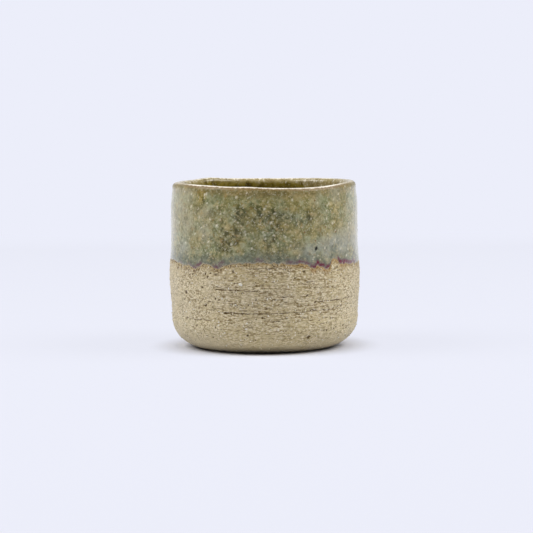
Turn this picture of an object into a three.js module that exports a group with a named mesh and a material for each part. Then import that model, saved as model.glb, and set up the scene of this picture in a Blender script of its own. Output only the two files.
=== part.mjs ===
// A handmade stoneware espresso cup with no handle: raw clay below, dipped glaze above, poured glaze inside.
// Millimetres, +Z up. The origin is the middle of the foot, on the surface that the cup stands on.
// Angles round the cup are degrees, 0 at the front (-Y) and growing towards the right (+X).

import * as THREE from "three";
import { mergeVertices } from "three/addons/utils/BufferGeometryUtils.js";

// Outside of the fired clay
const CLAY_HEIGHT = 55; // foot to the crown of the lip
const BELLY_RADIUS = 31.9; // the widest part
const BELLY_HEIGHT = 25;
const UPPER_TUCK = 0.65; // the straight upper wall stands in from the belly by this much
const UPPER_FROM = 36; // height where it begins
const LIP_TURN = 0.55; // and turns in further at the lip
const LIP_TURN_HEIGHT = 6.5; // height over which it turns in
const HIP_TUCK = 0.7; // the hip, where the wall meets the rounded corner of the foot, stands in too
const FOOT_CORNER = 10.5; // radius of that corner
const STANDING_RING = 5.3; // width of the flat ring that touches the table
const DISH_SLOPE = 1.6; // width of the slope from the ring into the hollowed underside
const DISH_DEPTH = 0.7;

// Inside of the fired clay
const WALL = 3.4;
const LIP = 2.4; // the wall thins to this at the lip, whose crown is half round
const LIP_TAPER = 14; // height over which it thins
const FLOOR = 4.6;
const BOWL_CORNER = 9; // radius between the inside wall and the floor

// The dipped coat outside
const DIP_HEIGHT = 29.6; // mean height of its lower edge
const GLAZE = 0.36;
const BEAD = 0.5; // where the coat ran down and stopped
const BEAD_RISE = 1.1; // height of the fattest part of the bead above the edge
const BEAD_REACH = 3; // height of the whole bead
const TOE = 0.2; // thickness at the very edge
const TOE_RISE = 0.35; // height over which the edge rounds

// The poured coat inside
const LINER = 0.36;
const POOL = 0.9; // it stands deeper on the floor
const CROWN_GLAZE = 0.3; // both coats run thin over the crown, where they meet

// How far the dip line lies above or below its mean height, with its drips
const DIP_LINE = [
  [-165, 0.3], [-158, -0.9], [-151, 0.1], [-134, -0.4], [-112, 0.4], [-104, -1.1], [-98, 0.1], [-83, 0.3],
  [-67, 0.1], [-58, -0.7], [-52, -0.5], [-47, -1.5], [-43, -0.6], [-37, 0.5], [-33, -0.3], [-29.5, -1.2],
  [-26, -0.2], [-22, 0.5], [-8, 1], [0, 1], [10, 0.7], [22, 0.4], [27, 0.2], [30.5, -1],
  [34, 0.1], [37, -0.5], [40.5, -1.6], [44, 0.3], [47, 1.8], [50, 0.3], [58, -0.3], [78, -0.4],
  [97, 0.2], [116, -0.6], [128, 0.4], [134, -1.3], [140, 0.3], [160, 0.6], [178, -0.5],
];

// How far the crown of the lip rises above its lowest parts
const LIP_LINE = [
  [-156, 0.2], [-140, 0.7], [-124, 0.4], [-90, 0.8], [-66, 0.8], [-40, 0.55], [-23, 0.25], [-10, 0.25],
  [0, 0.05], [24, 0], [39, 0.1], [66, 0.65], [90, 0.9], [123, 0.6], [140, 0.3], [170, 0],
];
const LIP_LINE_DEPTH = 30; // that rise dies away over this depth below the crown

// Drags that the trimming tool cut in the raw wall: height as a share of it, depth, first and last angle
const TRIMMING_DRAGS = [
  [0.06, 0.35, -58, -26], [0.06, 0.4, 86, 118], [0.06, 0.4, -132, -100],
  [0.2, 0.5, -24, 58], [0.2, 0.45, 118, 164],
  [0.41, 0.4, 30, 76], [0.41, 0.4, 96, 132], [0.41, 0.35, -172, -138],
  [0.64, 0.45, -32, 4], [0.64, 0.35, -152, -116],
  [0.85, 0.35, 52, 82], [0.85, 0.35, 140, 174],
];
const DRAG_WIDTH = 0.9;
const DRAG_RUN_OUT = 7; // degrees over which a drag runs out at both ends

// Facets
const SEGMENTS = 80;
const CORNER_STEPS = 5;
const GLAZED_WALL_STEPS = 3; // above the bead
const LIP_STEPS = 3; // over each half of the lip
const BOWL_WALL_STEPS = 4;

// Sizes that follow from those above
const UPPER_RADIUS = BELLY_RADIUS - UPPER_TUCK;
const HIP_RADIUS = BELLY_RADIUS - HIP_TUCK;
const LIP_ROUND = LIP / 2;
const RIM_HEIGHT = CLAY_HEIGHT - LIP_ROUND;
const CROWN_RADIUS = UPPER_RADIUS - LIP_TURN - LIP_ROUND;
const FOOT_RADIUS = HIP_RADIUS - FOOT_CORNER;
const RING_INSIDE = FOOT_RADIUS - STANDING_RING;
const BOWL_WALL_BOTTOM = FLOOR + BOWL_CORNER;
const LOWEST_DRIP = DIP_HEIGHT + Math.min(...DIP_LINE.map(([, rise]) => rise));
const DRAG_PLACES = [...new Set(TRIMMING_DRAGS.map(([place]) => place))];
const WALL_OUTLINE = [
  [FOOT_CORNER, HIP_RADIUS],
  [BELLY_HEIGHT, BELLY_RADIUS],
  [UPPER_FROM, UPPER_RADIUS],
];

// A smooth curve through points [x, y] in rising x, read at x, and level beyond both ends.
function smooth(points, x) {
  const last = points.length - 1;
  if (x <= points[0][0]) return points[0][1];
  if (x >= points[last][0]) return points[last][1];
  const after = points.findIndex((point) => point[0] > x);
  const slope = (k) => {
    if (k === 0 || k === last) return 0;
    return (points[k + 1][1] - points[k - 1][1]) / (points[k + 1][0] - points[k - 1][0]);
  };
  const [x0, y0] = points[after - 1];
  const [x1, y1] = points[after];
  const span = x1 - x0;
  const t = (x - x0) / span;
  const start = (1 - t) ** 2 * (y0 * (1 + 2 * t) + slope(after - 1) * span * t);
  const end = t ** 2 * (y1 * (3 - 2 * t) - slope(after) * span * (1 - t));
  return start + end;
}

// The same for a list that goes once round the cup.
function around(list, degrees) {
  const before = list.map(([angle, value]) => [angle - 360, value]);
  const after = list.map(([angle, value]) => [angle + 360, value]);
  return smooth([...before, ...list, ...after], degrees);
}

// Steps from one value to another, without the first.
function steps(from, to, count) {
  return Array.from({ length: count }, (_, k) => from + ((to - from) * (k + 1)) / count);
}

// Points [radius, height] of an arc in the section, without its first point.
function arc(radius, height, size, fromDegrees, toDegrees, count) {
  return steps(fromDegrees, toDegrees, count).map((degrees) => {
    const angle = THREE.MathUtils.degToRad(degrees);
    return [radius + size * Math.cos(angle), height + size * Math.sin(angle)];
  });
}

// A value that changes smoothly to another over a height just below the lip.
const towardsLip = (low, high, span, height) => {
  return smooth([[RIM_HEIGHT - span, low], [RIM_HEIGHT, high]], height);
};
const outsideRadius = (height) => {
  return smooth(WALL_OUTLINE, height) - towardsLip(0, LIP_TURN, LIP_TURN_HEIGHT, height);
};
const insideRadius = (height) => outsideRadius(height) - towardsLip(WALL, LIP, LIP_TAPER, height);
const dipHeight = (degrees) => DIP_HEIGHT + around(DIP_LINE, degrees);

// The clay's surface under the dipped coat, from the dip line to the crown.
function clayUnderDip(degrees) {
  const edge = dipHeight(degrees);
  const bead = [0, TOE_RISE, BEAD_RISE, BEAD_REACH].map((rise) => edge + rise);
  const heights = [...bead, ...steps(edge + BEAD_REACH, RIM_HEIGHT, GLAZED_WALL_STEPS)];
  const wall = heights.map((height) => [outsideRadius(height), height]);
  const lip = arc(CROWN_RADIUS, RIM_HEIGHT, LIP_ROUND, 0, 90, LIP_STEPS);
  return [...wall, ...lip];
}

// The clay's surface under the poured coat, from the crown to the middle of the floor.
function clayUnderLiner() {
  const lip = arc(CROWN_RADIUS, RIM_HEIGHT, LIP_ROUND, 90, 180, LIP_STEPS);
  const heights = steps(RIM_HEIGHT, BOWL_WALL_BOTTOM, BOWL_WALL_STEPS);
  const wall = heights.map((height) => [insideRadius(height), height]);
  const middle = insideRadius(BOWL_WALL_BOTTOM) - BOWL_CORNER;
  const corner = arc(middle, BOWL_WALL_BOTTOM, BOWL_CORNER, 0, -90, CORNER_STEPS);
  return [[CROWN_RADIUS, CLAY_HEIGHT], ...lip, ...wall, ...corner, [0, FLOOR]];
}

// How deep the trimming tool cut at one place up the raw wall.
function dragDepth(place, degrees) {
  const cuts = TRIMMING_DRAGS.filter((drag) => drag[0] === place).map(([, depth, first, last]) => {
    const ends = [[first - DRAG_RUN_OUT, 0], [first, depth], [last, depth], [last + DRAG_RUN_OUT, 0]];
    return smooth(ends, degrees);
  });
  return Math.max(...cuts);
}

// The raw wall, with a groove of three rows for each place that the tool cut.
function rawWall(degrees) {
  return DRAG_PLACES.flatMap((place) => {
    const middle = FOOT_CORNER + place * (LOWEST_DRIP - FOOT_CORNER);
    const [low, high] = [middle - DRAG_WIDTH / 2, middle + DRAG_WIDTH / 2];
    const cut = outsideRadius(middle) - dragDepth(place, degrees);
    return [[outsideRadius(low), low], [cut, middle], [outsideRadius(high), high]];
  });
}

// The raw clay, from the middle of the underside to just below the dip line.
function rawClay(degrees) {
  const dish = [[0, DISH_DEPTH], [RING_INSIDE - DISH_SLOPE, DISH_DEPTH]];
  const ring = [[RING_INSIDE, 0], [FOOT_RADIUS, 0]];
  const corner = arc(FOOT_RADIUS, FOOT_CORNER, FOOT_CORNER, -90, 0, CORNER_STEPS);
  return [...dish, ...ring, ...corner, ...rawWall(degrees)];
}

// Clay points moved out by a coat's thickness, square to the surface. The crown's point rises straight up.
function coated(points, crownIndex, thicknessAt) {
  return points.map(([radius, height], k) => {
    if (k === crownIndex) return [radius, height + CROWN_GLAZE];
    if (radius === 0) return [0, height + thicknessAt(height)];
    const before = points[Math.max(k - 1, 0)];
    const after = points[Math.min(k + 1, points.length - 1)];
    const run = new THREE.Vector2(after[0] - before[0], after[1] - before[1]).normalize();
    const move = thicknessAt(height);
    return [radius + run.y * move, height - run.x * move];
  });
}

function dipThickness(degrees) {
  const edge = dipHeight(degrees);
  const outline = [
    [edge, TOE],
    [edge + BEAD_RISE, BEAD],
    [edge + BEAD_REACH, GLAZE],
    [RIM_HEIGHT, GLAZE],
    [CLAY_HEIGHT, CROWN_GLAZE],
  ];
  return (height) => smooth(outline, height);
}

function linerThickness(height) {
  const outline = [[FLOOR, POOL], [BOWL_WALL_BOTTOM, LINER], [RIM_HEIGHT, LINER], [CLAY_HEIGHT, CROWN_GLAZE]];
  return smooth(outline, height);
}

const clayBody = (degrees) => [...rawClay(degrees), ...clayUnderDip(degrees), ...clayUnderLiner().slice(1)];

function outerGlaze(degrees) {
  const back = clayUnderDip(degrees);
  const face = coated(back, back.length - 1, dipThickness(degrees));
  return [...face, ...back.toReversed()];
}

function linerGlaze() {
  const back = clayUnderLiner();
  const face = coated(back, 0, linerThickness);
  return [...back.toReversed(), ...face];
}

// A point of the section, set at its angle, on a lip that isn't quite level.
function placed(degrees, [radius, height]) {
  const angle = THREE.MathUtils.degToRad(degrees);
  const share = Math.max(0, 1 - (CLAY_HEIGHT - height) / LIP_LINE_DEPTH);
  const rise = around(LIP_LINE, degrees) * share ** 2;
  return new THREE.Vector3(radius * Math.sin(angle), -radius * Math.cos(angle), height + rise);
}

// A closed body: a section that starts and ends on the axis, or closes on itself, goes once round the axis.
// Each four-sided facet is cut from its lower corner, so bodies that share a surface share its facets too.
function turned(sectionAt, closesOnItself) {
  const corners = [];
  const facet = (...points) => points.forEach((point) => corners.push(point.x, point.y, point.z));
  const sections = steps(-180, 180, SEGMENTS).map((degrees) => ({ degrees, points: sectionAt(degrees) }));
  sections.forEach((here, i) => {
    const next = sections[(i + 1) % SEGMENTS];
    const count = here.points.length;
    const sides = closesOnItself ? count : count - 1;
    for (let j = 0; j < sides; j += 1) {
      const k = (j + 1) % count;
      const a = placed(here.degrees, here.points[j]);
      const b = placed(next.degrees, next.points[j]);
      const c = placed(next.degrees, next.points[k]);
      const d = placed(here.degrees, here.points[k]);
      if (here.points[j][0] === 0) {
        facet(a, c, d);
      } else if (here.points[k][0] === 0) {
        facet(a, b, d);
      } else if (here.points[j][1] < here.points[k][1]) {
        facet(a, b, c);
        facet(a, c, d);
      } else {
        facet(a, b, d);
        facet(b, c, d);
      }
    }
  });
  const geometry = new THREE.BufferGeometry();
  geometry.setAttribute("position", new THREE.Float32BufferAttribute(corners, 3));
  const merged = mergeVertices(geometry);
  merged.computeVertexNormals();
  return merged;
}

function layer(name, geometry, color, roughness) {
  const material = new THREE.MeshStandardMaterial({ color, roughness, metalness: 0 });
  const mesh = new THREE.Mesh(geometry, material);
  mesh.name = name;
  return mesh;
}

const cup = new THREE.Group();
cup.add(layer("clay_body", turned(clayBody, false), 0xa2947a, 0.95));
cup.add(layer("outer_glaze", turned(outerGlaze, true), 0x7a7455, 0.22));
cup.add(layer("liner_glaze", turned(linerGlaze, false), 0x65582d, 0.2));

export default cup;
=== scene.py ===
# A handmade stoneware espresso cup with no handle: raw clay below, dipped glaze above, poured glaze inside.
# Sizes are millimetres. Angles round the cup are degrees, 0 at the front (-Y), growing to the right (+X).

import math

import bpy
from mathutils import Matrix, Vector, noise


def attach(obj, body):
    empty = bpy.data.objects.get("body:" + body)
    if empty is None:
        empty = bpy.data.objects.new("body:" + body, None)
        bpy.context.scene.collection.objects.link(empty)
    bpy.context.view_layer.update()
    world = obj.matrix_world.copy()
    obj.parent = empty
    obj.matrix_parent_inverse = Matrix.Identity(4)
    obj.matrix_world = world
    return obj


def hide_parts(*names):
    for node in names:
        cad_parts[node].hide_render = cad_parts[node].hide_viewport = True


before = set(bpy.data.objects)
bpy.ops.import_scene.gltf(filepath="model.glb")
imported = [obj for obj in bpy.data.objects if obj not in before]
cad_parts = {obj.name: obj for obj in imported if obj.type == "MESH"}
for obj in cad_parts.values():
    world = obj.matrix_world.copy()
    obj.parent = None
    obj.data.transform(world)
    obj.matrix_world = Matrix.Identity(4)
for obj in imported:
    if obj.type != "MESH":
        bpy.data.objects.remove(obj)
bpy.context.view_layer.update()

MM = 0.001  # metres in a millimetre

# Outside of the fired clay
CLAY_HEIGHT = 55.0
BELLY_RADIUS = 31.9
BELLY_HEIGHT = 25.0
UPPER_TUCK = 0.65
UPPER_FROM = 36.0
LIP_TURN = 0.55
LIP_TURN_HEIGHT = 6.5
HIP_TUCK = 0.7
FOOT_CORNER = 10.5
STANDING_RING = 5.3
DISH_SLOPE = 1.6
DISH_DEPTH = 0.7

# Inside of the fired clay
WALL = 3.4
LIP = 2.4
LIP_TAPER = 14.0
FLOOR = 4.6
BOWL_CORNER = 9.0

# The glazes
DIP_HEIGHT = 29.6
GLAZE = 0.3
BEAD = 0.34
BEAD_RISE = 1.1
BEAD_REACH = 3.0
LINER = 0.36
POOL = 0.9
CROWN_GLAZE = 0.3
SUNK = 0.2  # how deep the hidden back of a coat lies in the clay
LIFT_REACH = 16.0  # how far above the dip line the coat still follows it

# Sizes that follow from those above
UPPER_RADIUS = BELLY_RADIUS - UPPER_TUCK
HIP_RADIUS = BELLY_RADIUS - HIP_TUCK
LIP_ROUND = LIP / 2
RIM_HEIGHT = CLAY_HEIGHT - LIP_ROUND
CROWN_RADIUS = UPPER_RADIUS - LIP_TURN - LIP_ROUND
FOOT_RADIUS = HIP_RADIUS - FOOT_CORNER
RING_INSIDE = FOOT_RADIUS - STANDING_RING
BOWL_WALL_BOTTOM = FLOOR + BOWL_CORNER

# How far the dip line lies above or below its mean height, with its drips
DIP_LINE = [
    (-165, 0.3), (-158, -0.9), (-151, 0.1), (-134, -0.4), (-112, 0.4), (-104, -1.1), (-98, 0.1),
    (-83, 0.3), (-67, 0.1), (-58, -0.7), (-52, -0.5), (-47, -1.5), (-43, -0.6), (-37, 0.5), (-33, -0.3),
    (-29.5, -1.2), (-26, -0.2), (-22, 0.5), (-8, 1), (0, 1), (10, 0.7), (22, 0.4), (27, 0.0),
    (30.5, -1.4), (34, -0.2), (37, -0.8), (40.5, -1.6), (43.5, 0.2), (46, 1.6), (48.5, 1.6), (51, 0.0),
    (58, -0.7), (78, -1.0), (97, 0.2), (116, -0.6), (128, 0.4), (134, -1.3), (140, 0.3), (160, 0.6),
    (178, -0.5),
]

# How far the crown of the lip lies above or below the height of the clay
LIP_LINE = [
    (-156, 0.2), (-140, 0.7), (-124, 0.3), (-90, 0.3), (-66, 0.6), (-40, 0.5), (-23, 0.25), (-10, 0.25),
    (0, 0.0), (12, -0.2), (24, -0.28), (39, -0.12), (66, 0.6), (90, 0.6), (123, 0.45), (140, 0.3),
    (170, 0),
]
LIP_LINE_DEPTH = 30.0  # how far down the wall that is felt

# The dip line is ragged where it meets the grain of the clay
RAGGED = 0.65
RAGGED_PITCH = 1.1

# How coarse the raw clay is round the cup: smooth where a wet hand held it, torn where the tool dragged
COARSE_LINE = [
    (-170, 0.8), (-130, 1), (-95, 0.5), (-60, 0.2), (-34, 0.35), (-22, 0.95), (0, 1), (30, 1),
    (50, 0.75), (80, 0.6), (110, 0.9), (150, 1),
]

# Long drag marks in the raw clay: from and to angle, height at both ends, and depth
DRAG_MARKS = [
    (-24, 4, 14.2, 14.0, 0.34), (4, 30, 14.0, 14.4, 0.24), (30, 58, 14.5, 14.4, 0.22),
    (-56, -34, 11.5, 11.3, 0.3), (-30, -8, 21.9, 21.6, 0.3), (-8, 4, 21.5, 21.2, 0.2),
    (32, 72, 17.4, 17.7, 0.3), (4, 11, 18.6, 18.6, 0.24), (5, 13, 17.0, 17.1, 0.24),
    (36, 46, 26.7, 26.8, 0.2), (25, 33, 24.2, 24.3, 0.24), (3, 9, 11.4, 11.4, 0.28),
    (1, 12, 28.9, 28.7, 0.26), (12, 24, 28.6, 28.7, 0.18), (-26, -17, 19.8, 19.7, 0.18),
    (-36, -9, 17.6, 17.2, 0.18), (-29.5, -24, 15.6, 15.3, 0.22), (51, 76, 15.5, 15.7, 0.2),
    (33, 46, 22.0, 22.2, 0.2), (-22.3, -19, 25.0, 25.0, 0.3), (-31, -28, 26.6, 26.5, 0.3),
    (10.5, 14, 19.5, 19.5, 0.32), (0, 5.5, 15.6, 15.6, 0.2), (14, 17, 9.5, 9.3, 0.24),
    (22.5, 26, 7.7, 7.9, 0.22), (2, 6, 5.7, 5.8, 0.18), (52, 80, 25.2, 25.4, 0.16),
    (-10, -2, 28.8, 28.7, 0.24), (-8, 26, 23.1, 23.3, 0.14), (96, 132, 17.5, 17.8, 0.3),
    (118, 162, 14.1, 13.9, 0.32), (104, 122, 22.6, 22.8, 0.2), (150, 186, 20.4, 20.0, 0.26),
    (-172, -138, 17.4, 17.8, 0.28), (-152, -116, 21.8, 21.6, 0.28), (-132, -100, 11.8, 11.6, 0.28),
    (140, 174, 25.4, 25.3, 0.22), (-110, -84, 18.4, 18.0, 0.2), (86, 118, 11.5, 11.6, 0.26),
]
DRAG_REACH = 0.34
DRAG_FADE = 0.35  # share of its depth that a drag loses along its way

# Single pits in the raw clay: angle, height, radius
PITS = [
    (-54.8, 20.1, 0.8), (-40.4, 22.3, 0.48), (-38.2, 16.3, 0.62), (-64.5, 24.5, 0.48),
    (48.6, 28.4, 0.48), (-64.2, 27.9, 0.45), (-46, 9.3, 0.48), (-35.9, 25.9, 0.42), (-34.2, 27.0, 0.38),
    (-37.4, 26.9, 0.38), (-19, 27.9, 0.45), (-30.8, 18.7, 0.42), (-28.2, 18.4, 0.42), (-4.8, 18.6, 0.4),
    (-1.5, 12.8, 0.42), (-10.6, 6.9, 0.42), (60.3, 27.0, 0.42), (23.4, 27.6, 0.48), (18.2, 25.6, 0.42),
    (26, 19.7, 0.48), (28.5, 14.7, 0.45), (28.1, 5.9, 0.8), (41, 7.7, 0.42), (56, 8.7, 0.42),
    (50, 15.1, 0.42), (-24.5, 14.2, 0.5), (31.5, 17.3, 0.5), (-48, 26.4, 0.38), (-51, 23.4, 0.36),
    (-58, 17.6, 0.38), (96, 22.1, 0.5), (118, 16.2, 0.55), (139, 25.0, 0.5), (164, 12.4, 0.5),
    (-166, 22.8, 0.5), (-148, 10.8, 0.55), (-122, 26.2, 0.5), (-98, 20.4, 0.5), (-84, 14.6, 0.48),
]

# Large white grains in the raw clay: angle, height, radius
LARGE_GRAINS = [
    (-14, 23.7, 0.8), (-11.4, 9.0, 0.56), (-25.4, 7.5, 0.4), (-28.8, 6.4, 0.38), (-29, 11.0, 0.44),
    (-29.2, 10.0, 0.4), (-17.5, 17.0, 0.42), (-7.2, 17.6, 0.44), (-14.1, 17.8, 0.38), (1.9, 13.3, 0.4),
    (-12.9, 10.0, 0.36), (14.7, 27.3, 0.4), (21.3, 27.5, 0.38), (2.4, 28.4, 0.4), (13.9, 22.9, 0.42),
    (15.9, 20.3, 0.36), (39.4, 23.8, 0.36), (20.2, 18.4, 0.38), (28.9, 13.8, 0.4), (23.4, 13.7, 0.4),
    (96, 19.0, 0.5), (131, 12.6, 0.42), (158, 24.0, 0.55), (-160, 9.0, 0.45), (-118, 17.6, 0.55),
    (-86, 25.0, 0.42),
]

# Purple flashes where the dipped coat ends: from and to angle, height above the edge at both ends, strength
FLASHES = [
    (-62, -60, 0.5, 0.6, 0.5), (-52, -50, 0.6, 0.6, 0.4), (-47.5, -41.5, 0.3, 0.9, 0.7),
    (-31, -26, 0.5, 1.3, 0.8), (-5, -1.5, 0.9, 0.9, 0.55), (13.5, 17, 0.8, 0.8, 0.6),
    (20, 28.5, 0.7, 0.6, 0.7), (28.5, 32.5, 0.5, 0.5, 1.1), (32.5, 42.5, 0.8, 0.5, 1.15),
    (50.5, 58, 0.7, 0.6, 1.4), (58, 72, 0.7, 0.6, 1.0), (96, 108, 0.6, 0.5, 0.7),
    (112, 120, 0.7, 0.7, 0.9), (131, 137, 0.5, 0.6, 1.0), (150, 158, 0.8, 0.7, 0.5),
    (174, 182, 0.6, 0.6, 0.8), (-161, -155, 0.5, 0.6, 1.0), (-138, -128, 0.7, 0.6, 0.7),
    (-108, -101, 0.6, 0.5, 1.0), (-92, -84, 0.7, 0.7, 0.5),
]
FLASH_REACH = 1.5

# Patches in the dipped coat: angle, height, radius, strength
OCHRE_PATCHES = [
    (-41, 52.6, 2.6, 1.7), (-40, 50.4, 2.2, 1.4), (-33, 43.0, 4.0, 0.5), (-19, 40.4, 3.8, 1.0),
    (47, 43.6, 4.4, 0.7), (38, 40.8, 3.4, 0.8), (20.5, 47.4, 2.2, 0.9), (5.0, 44.4, 4.0, 1.0),
    (46, 48.6, 2.0, 0.8), (-14, 37.4, 3.4, 0.6), (2, 36.2, 3.0, 0.6), (-24, 53.0, 2.4, 0.7),
    (12, 42.0, 3.4, 0.8), (-4, 42.5, 3.6, 0.8), (-36, 37.6, 2.6, 0.5), (96, 45.0, 4.5, 0.7),
    (118, 38.5, 3.6, 0.8), (140, 48.0, 3.6, 0.8), (166, 42.0, 4.5, 0.6), (-168, 49.5, 3.0, 0.8),
    (-150, 38.0, 4.0, 0.7), (-126, 45.5, 4.2, 0.7), (-102, 39.5, 3.6, 0.6), (-84, 49.0, 3.4, 0.6),
]
MOSS_PATCHES = [
    (-27, 45.0, 1.9, 0.8), (-14, 47.6, 3.6, 0.8), (-16.4, 40.4, 3.6, 1.0), (1, 46.4, 3.6, 1.0),
    (-24, 35.8, 3.8, 0.9), (26, 45.0, 3.4, 0.9), (-5, 44.4, 3.0, 0.9), (6, 43.0, 3.0, 1.0),
    (38.5, 48.0, 1.2, 0.9), (-31, 38.0, 2.2, 0.6), (13, 46.2, 3.0, 1.3), (2.5, 39.0, 3.4, 1.4),
    (17, 39.2, 2.8, 0.4), (-16, 45.8, 3.0, 1.2), (-38, 46.6, 2.2, 0.5), (60, 41.0, 2.0, 0.5),
    (-3, 48.8, 3.4, 0.7), (9, 47.4, 3.4, 1.0), (-23, 41.4, 2.8, 1.5), (-18.5, 38.8, 3.2, 1.5),
    (-40, 52.0, 2.0, 1.4), (88, 38.0, 3.4, 0.9), (108, 47.6, 3.2, 0.9), (128, 42.0, 3.6, 1.0),
    (152, 37.0, 3.0, 0.8), (172, 46.5, 3.6, 1.0), (-158, 43.5, 3.4, 0.9), (-138, 49.0, 3.0, 0.8),
    (-114, 37.6, 3.2, 0.9), (-94, 44.5, 3.0, 0.8),
]
GREY_PATCHES = [
    (41, 35.8, 7.5, 1.0), (28, 34.0, 6.0, 0.9), (55, 36.5, 8.0, 1.0), (68, 39.0, 8.0, 0.9),
    (33, 50.0, 4.4, 0.6), (-52, 51.5, 5.5, 0.9), (78, 36.0, 8.0, 1.0), (64, 49.0, 7.0, 0.6),
    (80, 45.0, 8.0, 0.7), (-44, 47.0, 5.0, 0.5), (-33, 51.6, 2.8, 0.6), (-46.5, 51.8, 2.6, 0.6),
    (18.5, 35.9, 3.4, 0.6), (-54, 43.0, 8.0, 0.7), (-58, 34.5, 7.0, 0.7), (-62, 50.0, 8.0, 0.7),
    (-74, 42.0, 9.0, 0.8), (-46, 33.0, 4.0, 0.6), (10, 50.5, 3.6, 0.4), (-39, 40.5, 6.0, 0.75),
    (-36, 47.5, 5.0, 0.7), (50, 52.0, 6.0, 0.8), (36, 43.5, 4.0, 0.5), (112, 34.5, 7.0, 0.8),
    (134, 36.0, 6.0, 0.6), (158, 50.0, 6.0, 0.6), (-176, 36.0, 7.0, 0.8), (-146, 34.5, 6.0, 0.7),
    (-120, 50.0, 6.5, 0.6),
]
PINHOLE = [(32.7, 35.1, 0.66)]  # one blister in the dipped coat: angle, height, radius

# Mesh fineness
COLUMNS = 480
LINER_COLUMNS = 400
CLAY_ROW = 0.245
CLAY_FINE_PAST_DIP = 3.2
DISH_ROW = 1.8
RING_ROW = 1.3
LIP_ROW = 0.7
GLAZE_ROW = 0.4
BEAD_ROW = 0.25
BEAD_RISES = (0, 0.03, 0.1, 0.2, 0.35, 0.5, 0.7, 0.9, BEAD_RISE)  # rows up the toe of the bead
LINER_ROW = 0.7
POOL_ROW = 1.0
LINE_STEP = 0.5  # degrees between the points of a long mark
WELD = 0.001  # points closer than this are joined

# Rows of the clay that glaze hides, and every how many rows the hidden back of a coat has one
UNDER_DIP_ROW = 4.0
UNDER_LINER_ROW = 8.0
UNDER_CORNER_ROW = 2.5
UNDER_POOL_ROW = 6.0
BACK_EVERY = 8

# How far apart the patterns of neighbouring seeds lie, and the share of a dot that is whole
NOISE_APART = (17.3, 31.7, 11.9)
CELLS_APART = (13.1, 7.7, 23.3)
DOT_CORE = 0.4

# Sizes of the patterns in the raw clay
WOBBLES = 15.0
LUMPS = 1.7
TEAR_PATCHES = 5.0
DRAG_BREAKS = 1.1
CLAY_CLOUDS = 7.0
CLAY_PATCHES = 4.5
GRIT = 0.36
DRAGGED_GRIT = 0.42
CRUMBS = 0.66
COMBED = 0.4
COMBED_PATCHES = 6.0
QUARTZ_CELLS = 1.5
EDGE_CLOUDS = 1.6
EDGE_SPOTS = 0.7
EDGE_BURNS = 0.55
GRAIN_SHADES = 0.3

# Sizes of the patterns in the dipped coat
RIPPLES = 2.6
CLOUDS = 8.0
MOTTLES = 3.2
BLOTS = 1.9
FRECKLES = 0.95
SPECKLE = 0.55
DARK_CLOUDS = 4.6
LIGHT_CLOUDS = 3.6
AMBER_BLOTS = 1.4
RUST_CELLS = 3.4
FLASH_BLOTS = 0.9

# Sizes of the patterns in the poured liner
LINER_RIPPLES = 2.2
LINER_MOTTLES = 2.6
LINER_STREAKS = 2.0
LINER_BLOTS = 1.5
LINER_SPECKLE = 0.7
LINER_CELLS = 1.8
LINER_DIMPLES = 0.9


def smooth(points, x):
    """A smooth curve through points (x, y) in rising x, read at x, and level beyond both ends."""
    last = len(points) - 1
    if x <= points[0][0]:
        return points[0][1]
    if x >= points[last][0]:
        return points[last][1]
    after = next(k for k, point in enumerate(points) if point[0] > x)

    def slope(k):
        if k in (0, last):
            return 0.0
        return (points[k + 1][1] - points[k - 1][1]) / (points[k + 1][0] - points[k - 1][0])

    x0, y0 = points[after - 1]
    x1, y1 = points[after]
    span = x1 - x0
    t = (x - x0) / span
    start = (1 - t) ** 2 * (y0 * (1 + 2 * t) + slope(after - 1) * span * t)
    end = t**2 * (y1 * (3 - 2 * t) - slope(after) * span * (1 - t))
    return start + end


def around(line, degrees):
    """The same for a list that goes once round the cup."""
    turns = [(angle + turn, value) for turn in (-360, 0, 360) for angle, value in line]
    return smooth(turns, degrees)


def steps(start, end, longest):
    """Even steps from start to end, none longer than longest, without the start."""
    count = max(1, math.ceil(abs(end - start) / longest))
    return [start + (end - start) * (k + 1) / count for k in range(count)]


def arc(radius, height, size, from_degrees, to_degrees, row):
    """Section points of an arc, without its first point."""
    turn = math.degrees(row / size)
    angles = [math.radians(a) for a in steps(from_degrees, to_degrees, turn)]
    return [(radius + size * math.cos(a), height + size * math.sin(a)) for a in angles]


def outside_radius(height):
    """Radius of the clay's outer wall at a height."""
    outline = [(FOOT_CORNER, HIP_RADIUS), (BELLY_HEIGHT, BELLY_RADIUS), (UPPER_FROM, UPPER_RADIUS)]
    turn = smooth([(RIM_HEIGHT - LIP_TURN_HEIGHT, 0), (RIM_HEIGHT, LIP_TURN)], height)
    return smooth(outline, height) - turn


def inside_radius(height):
    """Radius of the clay's inner wall at a height."""
    return outside_radius(height) - smooth([(RIM_HEIGHT - LIP_TAPER, WALL), (RIM_HEIGHT, LIP)], height)


def on_wall(degrees, height, proud=0.0):
    """A point on the outer wall, in metres."""
    angle = math.radians(degrees)
    radius = outside_radius(height) + proud
    if height < FOOT_CORNER:
        radius -= FOOT_CORNER - math.sqrt(FOOT_CORNER**2 - (FOOT_CORNER - height) ** 2)
    return Vector((radius * math.sin(angle), -radius * math.cos(angle), height)) * MM


def dip_at(degrees):
    """How far the ragged dip line lies above or below its mean height."""
    ragged = noise.noise(on_wall(degrees, DIP_HEIGHT) / (RAGGED_PITCH * MM))
    return around(DIP_LINE, degrees) + RAGGED * ragged


# Sections, as rows (radius, height)


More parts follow.
